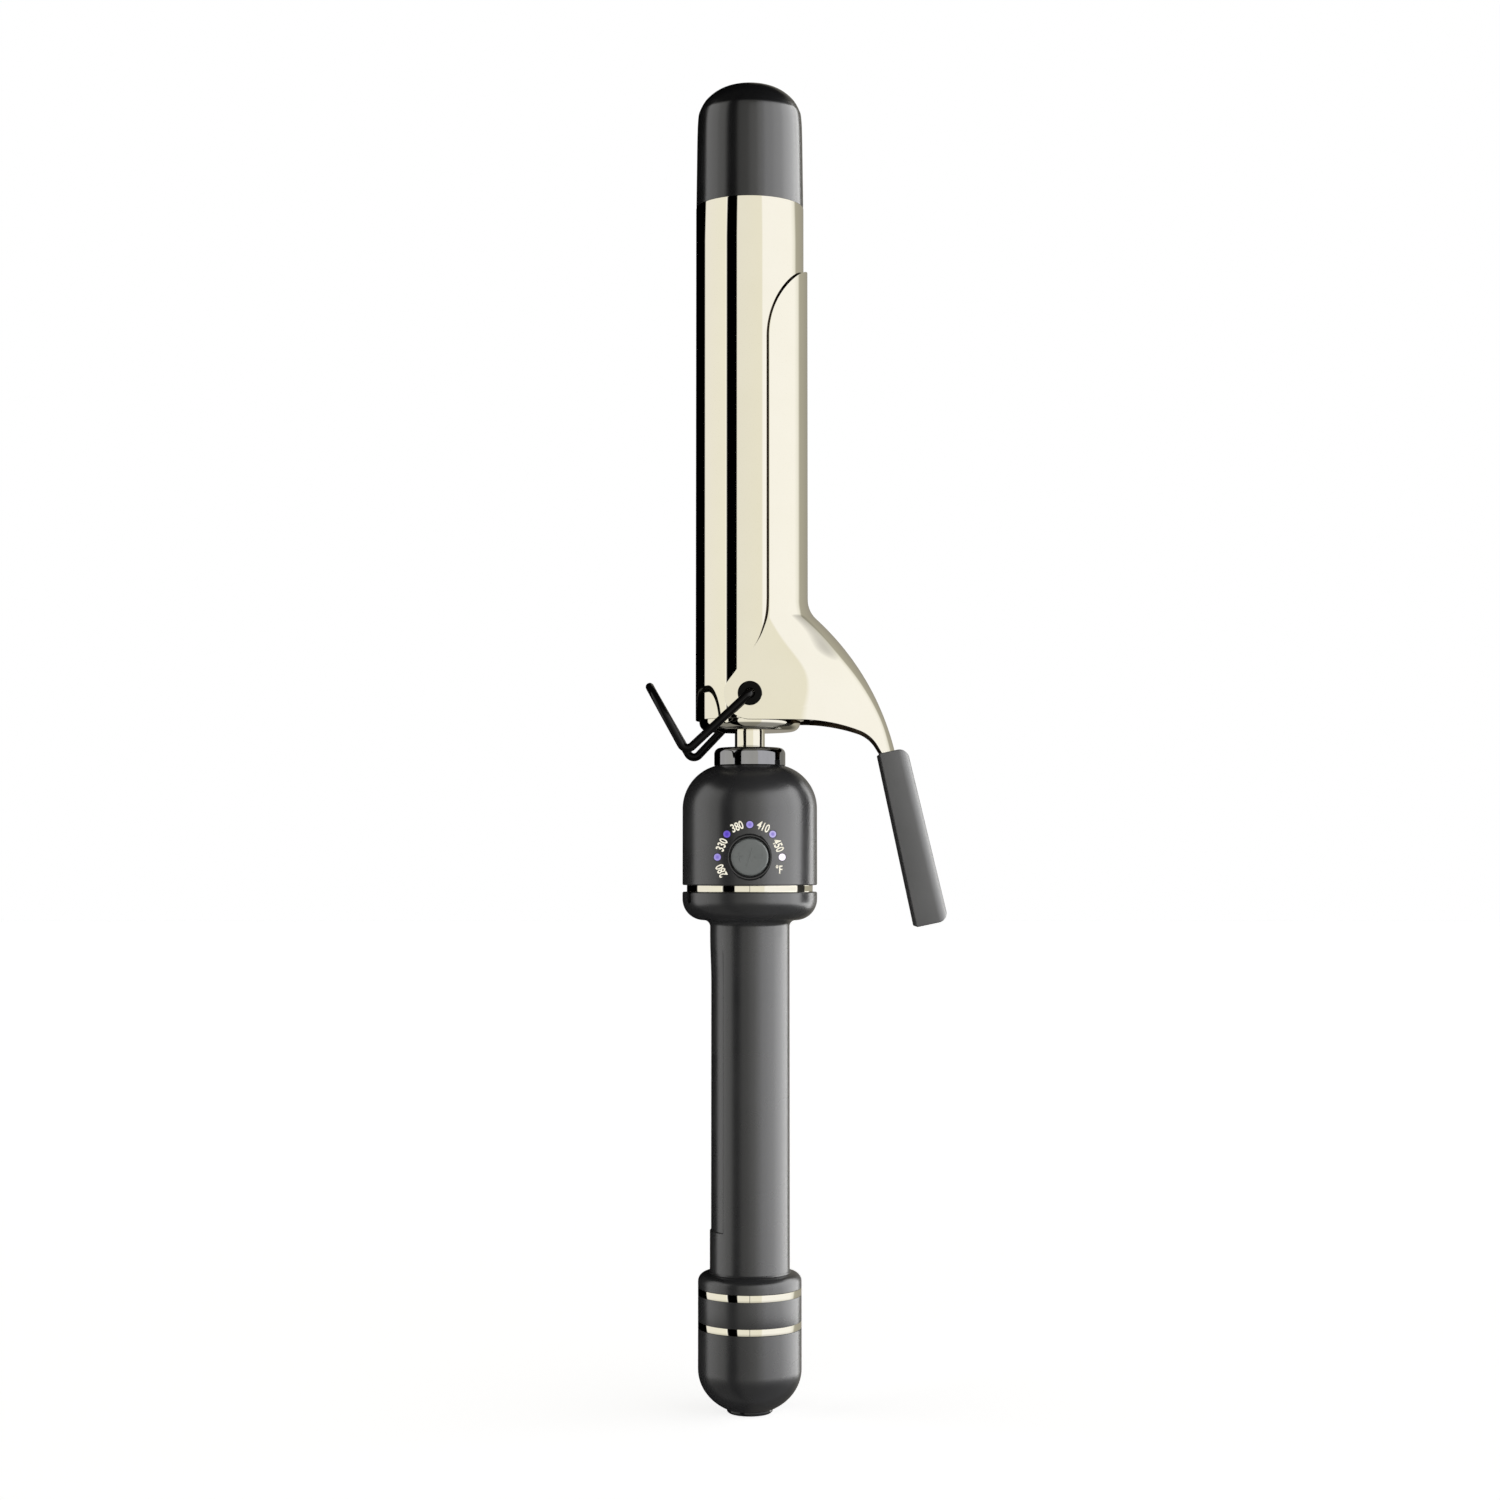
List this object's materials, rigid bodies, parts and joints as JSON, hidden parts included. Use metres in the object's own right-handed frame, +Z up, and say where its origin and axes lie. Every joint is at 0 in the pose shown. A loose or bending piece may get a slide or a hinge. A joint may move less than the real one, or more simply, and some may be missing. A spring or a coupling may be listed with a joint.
{
  "type": "curling iron",
  "caption": "Hair curling iron: plated barrel with spring clamp and lever, wire stand, round control housing, slim grip and turning cord gland.",
  "frame": {"origin": "centre of the cord gland's lower face", "axes": "+Z up the barrel's axis towards the cool tip, +X towards the clamp's lever, -Y towards the side with the button and lenses"},
  "size_m": [0.0872, 0.0414, 0.3888],
  "materials": {
    "gold_plate": "mirror polished pale gold plating",
    "satin_black": "satin moulded",
    "tip_black": "satin heat-proof moulding",
    "gloss_black": "high gloss",
    "coated_wire": "gloss black coating",
    "lens": "tinted, lit from behind",
    "button": "satin",
    "insulator": "heat-proof moulding",
    "aluminium": "extruded",
    "ceramic": "fired",
    "mica": "sheet",
    "steel": "plain",
    "spring_steel": "tempered",
    "brass": "plain",
    "board": "solder mask",
    "component": "moulded",
    "capacitor": "boxed",
    "led": "clear",
    "lead": "sleeved"
  },
  "bodies": {
    "iron": {"cool_tip": "tip_black", "barrel_tube": "gold_plate", "barrel_base_cap": "gold_plate", "barrel_holder": "insulator", "pivot_bushing_front": "gloss_black", "pivot_bushing_rear": "gloss_black", "heater_block_front": "aluminium", "heater_block_rear": "aluminium", "ptc_heater": "ceramic", "insulation_sheets": "mica", "thermistor": "steel", "thermal_fuse": "steel", "neck_tube": "gold_plate", "neck_collar": "gloss_black", "neck_nut": "steel", "housing_dome": "satin_black", "indicator_lens_1": "lens", "indicator_lens_2": "lens", "indicator_lens_3": "lens", "indicator_lens_4": "lens", "indicator_lens_5": "lens", "housing_trim_ring": "gold_plate", "handle_shell": "satin_black", "board_carrier": "satin_black", "control_board": "board", "board_screws": "steel", "tact_switch": "component", "leds": "led", "microcontroller": "component", "triac": "component", "capacitor": "capacitor", "heater_leads": "lead", "sensor_leads": "lead", "mains_leads": "lead", "end_collar": "satin_black", "end_ring_upper": "gold_plate", "end_band": "satin_black", "end_ring_lower": "gold_plate", "end_dome": "satin_black", "brush_holder": "insulator", "swivel_brushes": "brass", "clamp_spring": "spring_steel", "spring_rivet": "steel"},
    "clamp": {"clamp": "gold_plate", "lever_grip": "satin_black"},
    "stand": {"stand_wire": "coated_wire"},
    "button": {"temperature_button": "button"},
    "swivel": {"swivel_gland": "gloss_black", "slip_rings": "brass"}
  },
  "joints": [
    {"name": "clamp_hinge", "type": "hinge", "parent": "iron", "child": "clamp", "pos_m": [0, 0, 0.20735], "axis": [0, 1, 0], "range_deg": [0, 22], "stiffness_Nm_per_rad": 0.6, "springref_deg": -20.05, "deforming": ["clamp_spring"]},
    {"name": "stand_hinge", "type": "hinge", "parent": "iron", "child": "stand", "pos_m": [0, 0, 0.20735], "axis": [0, 1, 0], "range_deg": [-50, 45]},
    {"name": "button_press", "type": "slide", "parent": "iron", "child": "button", "axis": [0, 1, 0], "range_m": [0, 0.0005], "stiffness_N_per_m": 800},
    {"name": "gland_swivel", "type": "hinge", "parent": "iron", "child": "swivel", "pos_m": [0, 0, 0], "axis": [0, 0, 1], "continuous": true}
  ]
}
